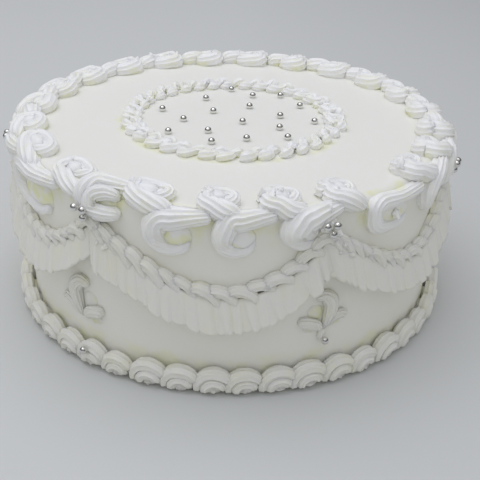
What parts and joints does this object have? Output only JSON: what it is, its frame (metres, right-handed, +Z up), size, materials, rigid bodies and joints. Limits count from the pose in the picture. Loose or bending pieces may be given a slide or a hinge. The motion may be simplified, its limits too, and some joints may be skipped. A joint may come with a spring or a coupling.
{
  "type": "iced celebration cake",
  "caption": "Round white iced cake with piped cream scrolls, swags, fleurs and shell borders, dotted with silver sugar balls.",
  "frame": {"origin": "centre of the cake's underside, on the surface it stands on", "axes": "+Z up along the cake's axis, -Y towards the front as pictured, +X to the viewer's right"},
  "size_m": [0.2517, 0.2525, 0.1032],
  "materials": {
    "icing_coat": "smooth white icing, spread by palette knife",
    "piped_cream": "soft white piped cream with fine ridges, pale cream tint in the grooves",
    "silver_balls": "polished silver sugar balls"
  },
  "bodies": {
    "root": {"cake_body": "icing_coat", "rim_scrolls": "piped_cream", "top_ring": "piped_cream", "base_border": "piped_cream", "swag_1": "piped_cream", "swag_2": "piped_cream", "swag_3": "piped_cream", "swag_4": "piped_cream", "swag_5": "piped_cream", "swag_6": "piped_cream", "swag_7": "piped_cream", "fleur_1": "piped_cream", "fleur_2": "piped_cream", "fleur_3": "piped_cream", "fleur_4": "piped_cream", "fleur_5": "piped_cream", "fleur_6": "piped_cream", "fleur_7": "piped_cream"}
  },
  "joints": []
}
